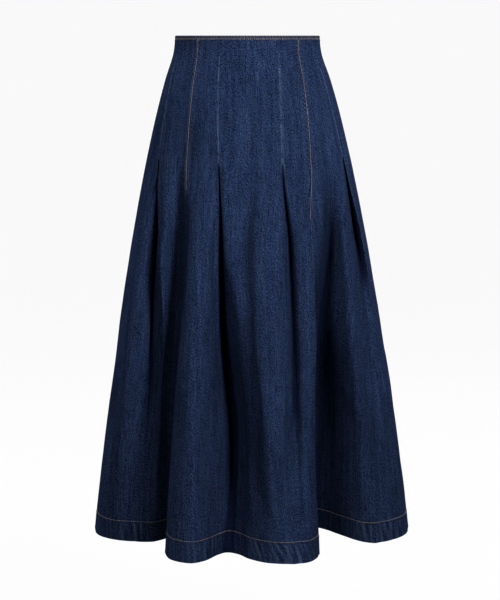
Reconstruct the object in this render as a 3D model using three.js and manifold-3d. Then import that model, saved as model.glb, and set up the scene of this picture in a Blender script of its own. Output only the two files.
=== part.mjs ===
// A long A-line skirt in dark denim, filled out as it hangs when it is worn.
// Seven panels meet at six sewn seams and a centre back zip. Eight pleats are sewn shut down to the hip
// and spring open below it. The waist edge and the hem are turned in.
// Millimetres. +Z is up, the front faces -Y, and +X is the right-hand side as seen from the front.
// The origin is the middle of the waist opening, level with the waist edge.
import * as THREE from "three";
import { mergeVertices } from "three/addons/utils/BufferGeometryUtils.js";
import Module from "manifold-3d";

// Cloth
const skirtLength = 849;
const clothThickness = 1.3;
const waistTurnDepth = 9;
const hemTurnDepth = 34;
const turnStep = 1.5;
const seamGap = 0.3;
const pleatSeam = { mouthAtWaist: 1.9, mouthAtHip: 1.5, deepAtWaist: 0.35, deepAtHip: 0.8 };

// Centre back zip
const zipLength = 190;
const zipSeamGap = 1.4;
const tapeHalfWidth = 12;
const tapeThickness = 0.7;
const tapeTop = -12;
const tapeTail = 10;

// Zip head: the slider outside the seam, and the pull that hangs on it
const sliderHeight = -14;
const sliderTilt = THREE.MathUtils.degToRad(5);
const sliderBody = { width: 5, depth: 1.6, height: 8 };
const neck = { width: 0.8, height: 3 };
const arch = { width: 1.6, bar: 0.9, inside: 1.7, span: 3.2 };
const pinRadius = 0.55;
const pull = { halfWidth: 2.9, windowHalfWidth: 1.2, windowEnd: 4.1, length: 21, thickness: 1.1 };

// The plain skirt, before its folds: how far it reaches to each side, forward and back at each height.
const sections = table(["height", "left", "right", "front", "back"], [
  [0, 121.5, 122, 86, 92],
  [-22, 123.5, 124, 88, 94],
  [-75, 139, 141, 95, 104],
  [-142, 156.5, 160, 103, 116],
  [-215, 172.5, 177.3, 112, 128],
  [-345, 196.5, 203.5, 137, 151],
  [-505, 221.5, 231.3, 174, 184],
  [-680, 245, 258.3, 214, 222],
  [-skirtLength, 265.5, 280.5, 250, 255],
]);

// Heights of the waist, hip, upper, middle, low and hem values in the two tables below.
const foldHeights = [0, -215, -345, -505, -680, -skirtLength];

// One row for each line that runs down the cloth, in order round the skirt from the left side seam.
// turn* are degrees round from the front. out* are how far the line stands out of the plain skirt below
// the hip. lift is how far the hem rises there.
const folds = table([
  "name", "turnWaist", "turnHip", "turnUpper", "turnMid", "turnLow", "turnHem",
  "outHip", "outUpper", "outMid", "outLow", "outHem", "lift",
], [
  ["sideSeamLeft", -90, -90, -90, -90, -90, -90, 0, 0, 0, 0, 0, 0],
  ["frontCornerLeft", -80, -76, -75, -75, -75.5, -76, 0, 0, 0, -1.5, -3.5, 0],
  ["frontRidgeOuterLeft", -76, -68, -62.4, -61.7, -63.7, -67.3, 0, 5.5, 1.1, -6.3, -19, 0],
  ["pleatOuterLeft", -71.6, -60.1, -54.5, -53.6, -56.4, -59.6, 0, -4, -29, -45.8, -45, 0],
  ["frontRidgeLeft", -62, -49.5, -44.3, -47.8, -50.9, -54.1, 0, 4.1, -31.1, -50.5, -71, 0],
  ["troughLeft", -49, -42.1, -44.5, -48.4, -51.5, -56.3, -4.1, -36, -62.5, -80, -108, 0],
  ["seamFrontLeft", -40.2, -36.4, -33.2, -33.6, -34.6, -35.4, 0, -12.8, -19.1, -24.6, -30, 0],
  ["lobeLeftShoulder", -36, -31.5, -28.7, -27.7, -27.3, -26.8, 0, 3.3, 4.4, 3, 6, 0],
  ["lobeLeft", -31, -25.3, -23.7, -21.6, -20.4, -19.1, 1.9, 7.2, 12.1, 13.2, 12.5, 0],
  ["lobeLeftInner", -27, -21, -18.5, -17.6, -15.7, -15.3, 0, 1, -10.3, -23.9, -11, 0],
  ["pleatInnerLeft", -22.2, -16, -13.2, -10.8, -6.2, -8.8, 0, -4.5, -44.7, -61.1, -58, 0],
  ["frontSlope", -10, -6.4, -7.6, -3.3, 0.3, 1, -1.8, -6.4, -30.8, -43, -29, 0],
  ["frontSoftTrough", 2, 1.2, -1.6, 1.3, 3.4, 5.7, -6, -16, -16, -21.7, -6, 0],
  ["frontRidge", 10, 7.7, 4.2, 4.9, 7.4, 10, 1.5, 1.4, 4.6, 6.8, 5, 0],
  ["frontRidgeRight", 17, 14.2, 14.1, 13.6, 13, 13.2, 1.5, 2.2, 6.1, 6, 9.5, 0],
  ["pleatInnerRight", 24.7, 19.2, 21.2, 20.4, 18.4, 17.2, 0, -1.8, -0.1, 1.5, 11, 0],
  ["lobeRight", 36, 28.5, 26.9, 25.3, 21.6, 21.7, 0.7, 3.2, 5.2, 2.2, 4.5, 0],
  ["seamFrontRight", 44.9, 37.4, 31.6, 29.9, 27.4, 28.6, 0, 0, -3.3, -18, -31, 0],
  ["troughRightWall", 49.5, 43.5, 38.8, 34.3, 33.8, 36.8, 0, -8.7, -43.2, -76.8, -90.2, 3],
  ["troughRight", 54, 52.3, 57, 60.9, 67.3, 64, -4.1, -37.8, -91.7, -126, -132, 8],
  ["troughRightSlope", 58, 55.5, 54.4, 55.3, 61.3, 61, 0, -20.2, -51.2, -80.5, -94, 3],
  ["frontRidgeOuterRight", 61, 60.3, 53, 52.5, 56.8, 57.9, 0, -0.7, -9.6, -27.7, -49, 0],
  ["pleatOuterRight", 65.6, 67.1, 67, 66.7, 64.6, 61.6, 0, 0, -6, -14, -23, 0],
  ["frontCornerRight", 78, 76, 75, 75.5, 75.8, 76, 0, 0, 0, -1, -3, 0],
  ["sideSeamRight", 90, 90, 90, 90, 90, 90, 0, 0, 0, 0, 0, 0],
  ["backCornerRight", 100, 101, 101.5, 102, 102.5, 103, 0, 0, 2, 2.5, 3, 0],
  ["backPleatOuterRight", 111, 113, 114, 115, 116, 117, 0, 0, -4, -9, -15, 2],
  ["backRidgeOuterRight", 122, 124, 125, 126, 127, 128, 0, 1, 3, 5, 7, 0],
  ["backTroughRight", 130, 132.5, 134, 136, 138, 139.5, 0, -5, -25, -35, -44, 3],
  ["seamBackRight", 138, 141, 143, 145, 147, 149, 0, 0, -6, -10, -14, 0],
  ["backLobeRight", 146, 149, 150.5, 152, 153.5, 155, 0, 1, 2, 3.5, 5, 0],
  ["backPleatInnerRight", 156, 158.5, 160, 161, 162.5, 164, 0, 0, -6, -12, -18, 2],
  ["backRidgeRight", 167, 169, 169.8, 170.5, 171.2, 172, 0, 1, 2, 2.5, 3, 0],
  ["centreBack", 180, 180, 180, 180.5, 180.8, 181, 0, 0, -2, -4, -6, 0],
  ["backRidgeLeft", 192, 191, 190.8, 190.5, 190, 189.5, 0, 1, 1, 1.5, 2, 0],
  ["backPleatInnerLeft", 203.5, 201.5, 200, 198.5, 197.2, 196, 0, 0, -4, -8, -12, 2],
  ["backLobeLeft", 213, 211, 210, 208.5, 207.2, 206, 0, 1, 2, 4, 6, 0],
  ["seamBackLeft", 222, 219, 217.5, 215.5, 214, 212.5, 0, 0, -6, -12, -18, 0],
  ["backTroughLeft", 230, 228, 227, 226, 225.2, 224.5, 0, -5, -28, -40, -52, 3],
  ["backRidgeOuterLeft", 238, 236.5, 235.8, 235, 234.5, 234, 0, 1, 1, 2, 3, 0],
  ["backPleatOuterLeft", 249, 246.5, 245.2, 244, 243, 242, 0, 0, -4, -8, -12, 2],
  ["backCornerLeft", 260, 259.5, 259, 258.5, 258, 257.5, 0, 0, 2, 2.5, 3, 0],
]);

// The folds that are pleats. release is the height below which the pleat is open. mouths are half the
// width of the opening and depths how far the bottom lies behind the lips, at the last seven of
// openHeights below the release. lean is how far the bottom shifts toward the next fold for each mm of
// depth, and drop is how far the left lip comes to lie behind the right one, in the shares of dropShares.
const openHeights = [0, -14, -32, -70, -130, -290, -465, -634];
const dropHeights = [0, -130, -290, -465, -634];
const dropShares = [0, 0.6, 1, 0.7, 0];
const pleats = table(["name", "release", "mouths", "depths", "lean", "drop"], [
  ["pleatOuterLeft", -200, [1.4, 2.6, 4.6, 7.5, 9, 9, 9], [7, 12, 16, 17, 12, 4, 1], 0, 6],
  ["pleatInnerLeft", -206, [1.5, 2.4, 3.6, 6, 12, 18, 15], [7, 12, 18, 21, 34, 40, 12], 0.15, 13],
  ["pleatInnerRight", -211, [1.8, 3.2, 4.8, 7.2, 9.4, 8, 8], [7, 12, 17, 19, 16, 4, 1], 0.15, 8],
  ["pleatOuterRight", -200, [1.8, 3, 5, 9, 11, 11, 11], [7, 12, 15, 16, 5, 2, 1], 0.5, 3],
  ["backPleatOuterRight", -208, [1.7, 2.5, 3.4, 5, 6, 8, 10], [6, 10, 14, 15, 20, 22, 22], 0, 3],
  ["backPleatInnerRight", -218, [1.7, 2.5, 3.2, 4.5, 7, 10, 14], [6, 10, 14, 16, 30, 38, 42], 0, 6],
  ["backPleatInnerLeft", -213, [1.7, 2.5, 3.3, 4.5, 6, 9, 12], [6, 10, 14, 16, 26, 32, 36], 0, 5],
  ["backPleatOuterLeft", -210, [1.7, 2.5, 3.4, 5, 5.5, 7, 8], [6, 10, 14, 15, 18, 18, 17], 0, 3],
]);

// Each panel and the two fold lines that it is sewn to its neighbours at.
const panels = table(["name", "from", "to", "colour"], [
  ["front_panel", "seamFrontLeft", "seamFrontRight", 0x22335a],
  ["front_side_panel_right", "seamFrontRight", "sideSeamRight", 0x203056],
  ["back_side_panel_right", "sideSeamRight", "seamBackRight", 0x1f2f54],
  ["back_panel_right", "seamBackRight", "centreBack", 0x213258],
  ["back_panel_left", "centreBack", "seamBackLeft", 0x213258],
  ["back_side_panel_left", "seamBackLeft", "sideSeamLeft", 0x1f2f54],
  ["front_side_panel_left", "sideSeamLeft", "seamFrontLeft", 0x203056],
]);

// Heights of the rows of points down every panel.
const rowHeights = [
  0, -waistTurnDepth, -waistTurnDepth - turnStep, -24, -50, -80, -115, -155, -190, -204, -216, -230, -248, -270,
  -298, -330, -366, -410, -464, -524, -586, -648, -708, -765, hemTurnDepth + turnStep - skirtLength,
  hemTurnDepth - skirtLength, -skirtLength,
];
const widestStep = 21;
const mostSteps = 4;

// Rows with named columns, from short lists of values. A value that a row leaves out is undefined.
function table(columns, rows) {
  return rows.map((row) => Object.fromEntries(columns.map((column, i) => [column, row[i]])));
}

// A smooth curve through values at falling heights that never overshoots them.
function smooth(heights, values, height) {
  const last = heights.length - 1;
  const rise = (i) => (values[i + 1] - values[i]) / (heights[i + 1] - heights[i]);
  const slope = (i) => {
    if (i === 0) return rise(0);
    if (i === last) return rise(last - 1);
    const before = rise(i - 1);
    const after = rise(i);
    return before * after <= 0 ? 0 : (2 * before * after) / (before + after);
  };
  let i = 0;
  while (i < last - 1 && height < heights[i + 1]) i += 1;
  const span = heights[i + 1] - heights[i];
  const t = THREE.MathUtils.clamp((height - heights[i]) / span, 0, 1);
  const u = 1 - t;
  return u * u * (1 + 2 * t) * values[i] + t * t * (3 - 2 * t) * values[i + 1]
    + span * (u * u * t * slope(i) - u * t * t * slope(i + 1));
}

const sectionHeights = sections.map((row) => row.height);
const plain = (side, height) => smooth(sectionHeights, sections.map((row) => row[side]), height);

// The point at a turn round the plain skirt, moved out by a distance.
function pointAt(turn, out, height, hemLift) {
  const angle = THREE.MathUtils.degToRad(turn);
  const across = Math.sin(angle);
  const ahead = Math.cos(angle);
  const acrossReach = plain(across < 0 ? "left" : "right", height) + out;
  const aheadReach = plain(ahead < 0 ? "back" : "front", height) + out;
  const lift = hemLift * (height / skirtLength) ** 2;
  return new THREE.Vector3(acrossReach * across, -aheadReach * ahead, height + lift);
}

// Where a fold lies at a height.
function foldPoint(fold, height) {
  const turns = [fold.turnWaist, fold.turnHip, fold.turnUpper, fold.turnMid, fold.turnLow, fold.turnHem];
  const outs = [0, fold.outHip, fold.outUpper, fold.outMid, fold.outLow, fold.outHem];
  return pointAt(smooth(foldHeights, turns, height), smooth(foldHeights, outs, height), height, fold.lift);
}

// The lines of one fold at a height: one point for a plain fold; lip, bottom and lip for a pleat.
// The lips lie to either side along the way from the fold before it to the fold after it.
function linesOfFold(fold, number, height) {
  const here = foldPoint(fold, height);
  const pleat = pleats.find((row) => row.name === fold.name);
  if (!pleat) return [here];
  const { mouthAtWaist, mouthAtHip, deepAtWaist, deepAtHip } = pleatSeam;
  const heights = [0, ...openHeights.map((below) => pleat.release + below)];
  const mouth = smooth(heights, [mouthAtWaist, mouthAtHip, ...pleat.mouths], height);
  const deep = smooth(heights, [deepAtWaist, deepAtHip, ...pleat.depths], height);
  const drop = pleat.drop * smooth(dropHeights, dropShares, height - pleat.release);
  const along = foldPoint(folds[number + 1], height).sub(foldPoint(folds[number - 1], height));
  along.setZ(0).normalize();
  const inward = new THREE.Vector3(-along.y, along.x, 0);
  const toBottom = inward.clone().addScaledVector(along, pleat.lean);
  return [
    here.clone().addScaledVector(along, -mouth).addScaledVector(inward, drop),
    here.clone().addScaledVector(toBottom, deep + drop),
    here.clone().addScaledVector(along, mouth),
  ];
}

const linesAt = (height) => folds.flatMap((fold, number) => linesOfFold(fold, number, height));
const isPleat = (fold) => pleats.some((row) => row.name === fold.name);
const lineNames = folds.flatMap((fold) => (
  isPleat(fold) ? [`${fold.name}A`, fold.name, `${fold.name}B`] : [fold.name]));
const lineCount = lineNames.length;
const lineIndex = (name) => lineNames.indexOf(name);

// A section of the cloth at a height is a closed curve through its lines. A place on it is a line's
// number and the share of the way to the next line.
const sectionsMade = new Map();
function sectionAt(height) {
  if (!sectionsMade.has(height)) {
    const curve = new THREE.CatmullRomCurve3(linesAt(height), true, "centripetal");
    const place = (at) => curve.getPoint((((at % lineCount) + lineCount) % lineCount) / lineCount);
    sectionsMade.set(height, place);
  }
  return sectionsMade.get(height);
}

// Outward direction of the cloth at a place, from the way it runs across and down.
function outwardAt(place, height) {
  const acrossStep = 0.12;
  const downStep = 3;
  const here = sectionAt(height);
  const across = here(place + acrossStep).sub(here(place - acrossStep));
  const above = Math.min(height + downStep, 0);
  const below = Math.max(height - downStep, -skirtLength);
  const up = sectionAt(above)(place).sub(sectionAt(below)(place));
  return across.cross(up).normalize();
}

// How thick the wall is at a row: doubled where an edge is turned in.
function wallAt(height) {
  const turned = height >= -waistTurnDepth || height <= hemTurnDepth - skirtLength;
  return turned ? 2 * clothThickness : clothThickness;
}

// The gap left between two panels at a row, wider at the centre back where the zip is.
function gapAt(name, height) {
  if (name !== "centreBack") return seamGap;
  const sewn = THREE.MathUtils.smoothstep(-height, zipLength, zipLength + tapeTail);
  return THREE.MathUtils.lerp(zipSeamGap, seamGap, sewn);
}

// Places across a panel: every line, and steps between two lines no wider than widestStep at the hem.
function placesAcross(first, last) {
  const hem = sectionAt(-skirtLength);
  const places = [];
  for (let line = first; line < last; line += 1) {
    const steps = Math.min(mostSteps, Math.ceil(hem(line).distanceTo(hem(line + 1)) / widestStep));
    for (let step = 0; step < steps; step += 1) places.push(line + step / steps);
  }
  return [...places, last];
}

// A closed wall from a grid of outer points and the matching grid of inner ones, row by row.
function wallGeometry(outer, inner) {
  const rows = outer.length;
  const columns = outer[0].length;
  const points = [...outer.flat(), ...inner.flat()].flatMap((p) => [p.x, p.y, p.z]);
  const index = [];
  const at = (row, column, side) => side * rows * columns + row * columns + column;
  const quad = (a, b, c, d) => index.push(a, b, c, a, c, d);
  for (let r = 0; r < rows - 1; r += 1) {
    for (let c = 0; c < columns - 1; c += 1) {
      quad(at(r, c, 0), at(r + 1, c, 0), at(r + 1, c + 1, 0), at(r, c + 1, 0));
      quad(at(r, c, 1), at(r, c + 1, 1), at(r + 1, c + 1, 1), at(r + 1, c, 1));
    }
    quad(at(r, 0, 0), at(r, 0, 1), at(r + 1, 0, 1), at(r + 1, 0, 0));
    quad(at(r, columns - 1, 0), at(r + 1, columns - 1, 0), at(r + 1, columns - 1, 1), at(r, columns - 1, 1));
  }
  for (let c = 0; c < columns - 1; c += 1) {
    quad(at(0, c, 0), at(0, c + 1, 0), at(0, c + 1, 1), at(0, c, 1));
    quad(at(rows - 1, c, 0), at(rows - 1, c, 1), at(rows - 1, c + 1, 1), at(rows - 1, c + 1, 0));
  }
  const geometry = new THREE.BufferGeometry();
  geometry.setAttribute("position", new THREE.Float32BufferAttribute(points, 3));
  geometry.setIndex(index);
  geometry.computeVertexNormals();
  return geometry;
}

function clothMaterial(colour) {
  return new THREE.MeshStandardMaterial({ color: colour, roughness: 0.92, metalness: 0 });
}

// One panel of cloth between two seams, its edges drawn back by half the seam gap.
function panelMesh(panel) {
  const first = lineIndex(panel.from);
  const last = lineIndex(panel.to) > first ? lineIndex(panel.to) : lineIndex(panel.to) + lineCount;
  const places = placesAcross(first, last);
  const outer = [];
  const inner = [];
  for (const height of rowHeights) {
    const section = sectionAt(height);
    const outerRow = places.map((place) => section(place));
    const innerRow = places.map((place, i) => (
      outerRow[i].clone().addScaledVector(outwardAt(place, height), -wallAt(height))));
    const drawBack = (i, place, way, gap) => {
      const seamStep = 0.02;
      const along = section(place + seamStep).sub(section(place - seamStep)).normalize();
      outerRow[i].addScaledVector(along, (way * gap) / 2);
      innerRow[i].addScaledVector(along, (way * gap) / 2);
    };
    drawBack(0, first, 1, gapAt(panel.from, height));
    drawBack(places.length - 1, last, -1, gapAt(panel.to, height));
    outer.push(outerRow);
    inner.push(innerRow);
  }
  const mesh = new THREE.Mesh(wallGeometry(outer, inner), clothMaterial(panel.colour));
  mesh.name = panel.name;
  return mesh;
}

// The zip tape behind the centre back, made from the panels' own points moved in.
function zipTapeMesh() {
  const heights = rowHeights.filter((height) => height < tapeTop && height > -zipLength - tapeTail);
  const lineAcross = [-1, -0.5, 0, 0.5, 1].map((share) => share * tapeHalfWidth);
  const backLine = lineIndex("centreBack");
  const outer = [];
  const inner = [];
  for (const height of [tapeTop, ...heights, -zipLength - tapeTail]) {
    const section = sectionAt(height);
    const lineStep = 0.25;
    const perLine = section(backLine + lineStep).distanceTo(section(backLine - lineStep)) / (2 * lineStep);
    const moved = (inset) => lineAcross.map((across) => {
      const place = backLine + across / perLine;
      return section(place).addScaledVector(outwardAt(place, height), -inset);
    });
    outer.push(moved(clothThickness + seamGap));
    inner.push(moved(clothThickness + seamGap + tapeThickness));
  }
  const mesh = new THREE.Mesh(wallGeometry(outer, inner), clothMaterial(0x1a2440));
  mesh.name = "zip_tape";
  return mesh;
}

// Joining and cutting for the small metal pieces
const wasm = await Module();
wasm.setup();

function solid(geometry) {
  const bare = geometry.clone();
  bare.deleteAttribute("normal");
  bare.deleteAttribute("uv");
  const merged = mergeVertices(bare);
  const vertProperties = new Float32Array(merged.attributes.position.array);
  const triVerts = new Uint32Array(merged.index.array);
  return new wasm.Manifold(new wasm.Mesh({ numProp: 3, vertProperties, triVerts }));
}

function metalMesh(name, body) {
  const made = body.getMesh();
  const geometry = new THREE.BufferGeometry();
  geometry.setAttribute("position", new THREE.BufferAttribute(made.vertProperties, 3));
  geometry.setIndex(new THREE.BufferAttribute(made.triVerts, 1));
  geometry.computeVertexNormals();
  const material = new THREE.MeshStandardMaterial({ color: 0x26324c, roughness: 0.38, metalness: 0.6 });
  const mesh = new THREE.Mesh(geometry, material);
  mesh.name = name;
  return mesh;
}

const block = (width, depth, height, x, y, z) => (
  solid(new THREE.BoxGeometry(width, depth, height).translate(x, y, z)));

// In the zip head's own frame Y points out of the cloth, Z up along it, and the pull turns about X.
const bodyOut = seamGap + sliderBody.depth;
const pinOut = bodyOut + arch.inside / 2;

// The slider: a flat body on the seam, an arch on it, and a neck that reaches through to the tape.
function sliderMesh() {
  const neckDepth = clothThickness + bodyOut;
  const { width, depth, height } = sliderBody;
  const body = block(width, depth, height, 0, seamGap + depth / 2, 0);
  const stem = block(neck.width, neckDepth, neck.height, 0, bodyOut - neckDepth / 2, 0);
  const archHeight = arch.span + 2 * arch.bar;
  const archDepth = arch.inside + arch.bar;
  const overlap = 0.4;
  const hoop = block(arch.width, archDepth + overlap, archHeight, 0, bodyOut + (archDepth - overlap) / 2, 0)
    .subtract(block(arch.width * 2, arch.inside, arch.span, 0, bodyOut + arch.inside / 2, 0));
  return metalMesh("zip_slider", body.add(stem).add(hoop));
}

// The pull: a flat drop-shaped tab with a window, and a pin across its top that turns in the arch.
function pullMesh() {
  const dropRadius = pull.halfWidth;
  const shoulder = pull.windowHalfWidth * 2;
  const outline = new THREE.Shape();
  outline.moveTo(shoulder, pinRadius);
  outline.lineTo(-shoulder, pinRadius);
  outline.lineTo(-shoulder, -pull.windowEnd);
  outline.lineTo(-dropRadius, dropRadius - pull.length);
  outline.absarc(0, dropRadius - pull.length, dropRadius, Math.PI, 2 * Math.PI, false);
  outline.lineTo(shoulder, -pull.windowEnd);
  outline.closePath();
  const extrusion = { depth: pull.thickness, bevelEnabled: false, curveSegments: 10 };
  const slab = new THREE.ExtrudeGeometry(outline, extrusion);
  slab.rotateX(Math.PI / 2).translate(0, pull.thickness / 2, 0);
  const windowTop = 2 * pinRadius;
  const windowHeight = windowTop + pull.windowEnd;
  const windowWidth = 2 * pull.windowHalfWidth;
  const window = block(windowWidth, 2 * pull.thickness, windowHeight, 0, 0, windowTop - windowHeight / 2);
  const pin = solid(new THREE.CylinderGeometry(pinRadius, pinRadius, 2 * shoulder, 12).rotateZ(Math.PI / 2));
  return metalMesh("zip_pull", solid(slab).subtract(window).add(pin));
}

function zipHead() {
  const head = new THREE.Group();
  const seam = sectionAt(sliderHeight)(lineIndex("centreBack"));
  head.position.copy(seam);
  head.rotation.x = sliderTilt;
  const pullOnArch = pullMesh();
  pullOnArch.position.set(0, pinOut, 0);
  head.add(sliderMesh(), pullOnArch);
  return head;
}

const skirt = new THREE.Group();
for (const panel of panels) skirt.add(panelMesh(panel));
skirt.add(zipTapeMesh(), zipHead());

export default skirt;
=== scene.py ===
import math

import bpy
import numpy as np
from mathutils import Matrix, Vector


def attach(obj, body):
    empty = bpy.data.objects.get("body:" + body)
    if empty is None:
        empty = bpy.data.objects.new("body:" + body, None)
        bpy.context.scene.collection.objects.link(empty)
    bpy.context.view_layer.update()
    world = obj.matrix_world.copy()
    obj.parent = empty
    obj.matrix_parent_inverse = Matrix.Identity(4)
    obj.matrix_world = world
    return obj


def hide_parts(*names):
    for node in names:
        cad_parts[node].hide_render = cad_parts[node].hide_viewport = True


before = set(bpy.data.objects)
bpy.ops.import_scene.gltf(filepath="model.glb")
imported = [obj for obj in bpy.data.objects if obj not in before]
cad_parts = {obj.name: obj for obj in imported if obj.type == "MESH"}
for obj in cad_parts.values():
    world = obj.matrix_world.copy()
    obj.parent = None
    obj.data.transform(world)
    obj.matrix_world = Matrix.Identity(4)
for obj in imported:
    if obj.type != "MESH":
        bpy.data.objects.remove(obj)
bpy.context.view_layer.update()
millimetre = 0.001

# Camera: level with the waist, 3.5 m in front of it, looking a little down
camera = {
    "distance": 3.5,
    "across": 0.0046,
    "pitchDegrees": 7.331,
    "lensMillimetres": 123.35,
}
cameraData = bpy.data.cameras.new("camera")
cameraData.lens = camera["lensMillimetres"]
cameraData.sensor_width = 36
cameraObject = bpy.data.objects.new("camera", cameraData)
cameraObject.location = (camera["across"], -camera["distance"], 0)
cameraObject.rotation_euler = (math.radians(90 - camera["pitchDegrees"]), 0, 0)
bpy.context.collection.objects.link(cameraObject)
bpy.context.scene.camera = cameraObject

skirt = {
    "length": 849,
    "cloth": 1.3,
    "thinnest": 0.35,
    "waistTurn": 9,
    "waistStitch": 5.6,
    "hemTurn": 34,
    "seamAllowance": 11,
    "seamGap": 0.05,
    "zipSeamGap": 1.4,
    "zipGapBelowHead": 0.5,
    "zipHeadDepth": 22,
    "zipLength": 190,
    "topStitchInset": 2.0,
    "topStitchEnds": (262, 305),
}
length = skirt["length"]

# The plain skirt before its folds: height, then how far it reaches left, right, forward and back
sectionRows = np.array([
    (0, 121.5, 122, 86, 92),
    (-22, 123.5, 124, 88, 94),
    (-75, 139, 141, 95, 104),
    (-142, 156.5, 160, 103, 116),
    (-215, 172.5, 177.3, 112, 128),
    (-345, 196.5, 203.5, 137, 151),
    (-505, 221.5, 231.3, 174, 184),
    (-680, 245, 258.3, 214, 222),
    (-length, 265.5, 280.5, 250, 255),
])

foldHeights = np.array([0, -215, -345, -505, -680, -length])

# Lines down the cloth in order round the skirt: the turn in degrees from the front at the six fold
# heights, how far the line stands out of the plain skirt at the last five, and how far the hem lifts.
# Many of the front values were solved by a separate script from places read off the picture
folds = {
    "sideSeamLeft": (-90, -90, -90, -90, -90, -90, 0, 0, 0, 0, 0, 0),
    "frontCornerLeft": (-80, -76, -75, -75, -75.5, -76, 0, 0, 0, -1.5, -3.5, 0),
    "frontRidgeOuterLeft": (-76, -68, -62.4, -61.7, -63.7, -67.3, 0, 5.5, 1.1, -6.3, -19, 0),
    "pleatOuterLeft": (-71.6, -60.1, -54.5, -53.6, -56.4, -59.6, 0, -4, -29, -45.8, -45, 0),
    "frontRidgeLeft": (-62, -49.5, -44.3, -47.8, -50.9, -54.1, 0, 4.1, -31.1, -50.5, -71, 0),
    "troughLeft": (-49, -42.1, -44.5, -48.4, -51.5, -56.3, -4.1, -36, -62.5, -80, -108, 0),
    "seamFrontLeft": (-43.3, -36.4, -33.2, -33.6, -34.6, -35.4, 0, -12.8, -19.1, -24.6, -30, 0),
    "lobeLeftShoulder": (-38, -31.5, -28.7, -27.7, -27.3, -26.8, 0, 3.3, 4.4, 3, 6, 0),
    "lobeLeft": (-32, -25.3, -23.7, -21.6, -20.4, -19.1, 1.9, 7.2, 12.1, 13.2, 12.5, 0),
    "lobeLeftInner": (-27, -21, -18.5, -17.6, -15.7, -15.3, 0, 1, -10.3, -23.9, -11, 0),
    "pleatInnerLeft": (-22.2, -16, -13.2, -10.8, -6.2, -8.8, 0, -4.5, -44.7, -61.1, -58, 0),
    "frontSlope": (-10, -6.4, -7.6, -3.3, 0.3, 1, -1.8, -6.4, -30.8, -43, -29, 0),
    "frontSoftTrough": (2, 1.2, -1.6, 1.3, 3.4, 5.7, -6, -16, -16, -21.7, -6, 0),
    "frontRidge": (10, 7.7, 4.2, 4.9, 7.4, 10, 1.5, 1.4, 4.6, 6.8, 5, 0),
    "frontRidgeRight": (17, 14.2, 14.1, 13.6, 13, 13.2, 1.5, 2.2, 6.1, 6, 9.5, 0),
    "pleatInnerRight": (24.7, 19.2, 21.2, 20.4, 18.4, 17.2, 0, -1.8, -0.1, 1.5, 11, 0),
    "lobeRight": (36, 28.5, 26.9, 25.3, 21.6, 21.7, 0.7, 3.2, 5.2, 2.2, 4.5, 0),
    "seamFrontRight": (44.9, 37.4, 31.6, 29.9, 27.4, 28.6, 0, 0, -3.3, -18, -31, 0),
    "troughRightWall": (49.5, 43.5, 38.8, 34.3, 33.8, 36.8, 0, -8.7, -43.2, -76.8, -90.2, 3),
    "troughRight": (54, 52.3, 57, 60.9, 67.3, 67.3, -4.1, -37.8, -91.7, -126, -151.5, 8),
    "troughRightSlope": (58, 55.5, 54.4, 55.3, 61.3, 61, 0, -20.2, -51.2, -80.5, -94, 3),
    "frontRidgeOuterRight": (61, 60.3, 53, 52.5, 56.8, 57.9, 0, -0.7, -9.6, -27.7, -49, 0),
    "pleatOuterRight": (65.6, 67.1, 67, 66.7, 64.6, 61.6, 0, 0, -6, -14, -23, 0),
    "frontCornerRight": (78, 76, 75, 75.5, 75.8, 76, 0, 0, 0, -1, -3, 0),
    "sideSeamRight": (90, 90, 90, 90, 90, 90, 0, 0, 0, 0, 0, 0),
    "backCornerRight": (100, 101, 101.5, 102, 102.5, 103, 0, 0, 2, 2.5, 3, 0),
    "backPleatOuterRight": (111, 113, 114, 115, 116, 117, 0, 0, -4, -9, -15, 2),
    "backRidgeOuterRight": (122, 124, 125, 126, 127, 128, 0, 1, 3, 5, 7, 0),
    "backTroughRight": (130, 132.5, 134, 136, 138, 139.5, 0, -5, -25, -35, -44, 3),
    "seamBackRight": (138, 141, 143, 145, 147, 149, 0, 0, -6, -10, -14, 0),
    "backLobeRight": (146, 149, 150.5, 152, 153.5, 155, 0, 1, 2, 3.5, 5, 0),
    "backPleatInnerRight": (156, 158.5, 160, 161, 162.5, 164, 0, 0, -6, -12, -18, 2),
    "backRidgeRight": (167, 169, 169.8, 170.5, 171.2, 172, 0, 1, 2, 2.5, 3, 0),
    "centreBack": (180, 180, 180, 180.5, 180.8, 181, 0, 0, -2, -4, -6, 0),
    "backRidgeLeft": (192, 191, 190.8, 190.5, 190, 189.5, 0, 1, 1, 1.5, 2, 0),
    "backPleatInnerLeft": (203.5, 201.5, 200, 198.5, 197.2, 196, 0, 0, -4, -8, -12, 2),
    "backLobeLeft": (213, 211, 210, 208.5, 207.2, 206, 0, 1, 2, 4, 6, 0),
    "seamBackLeft": (222, 219, 217.5, 215.5, 214, 212.5, 0, 0, -6, -12, -18, 0),
    "backTroughLeft": (230, 228, 227, 226, 225.2, 224.5, 0, -5, -28, -40, -52, 3),
    "backRidgeOuterLeft": (238, 236.5, 235.8, 235, 234.5, 234, 0, 1, 1, 2, 3, 0),
    "backPleatOuterLeft": (249, 246.5, 245.2, 244, 243, 242, 0, 0, -4, -8, -12, 2),
    "backCornerLeft": (260, 259.5, 259, 258.5, 258, 257.5, 0, 0, 2, 2.5, 3, 0),
}
foldNames = list(folds)

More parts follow.
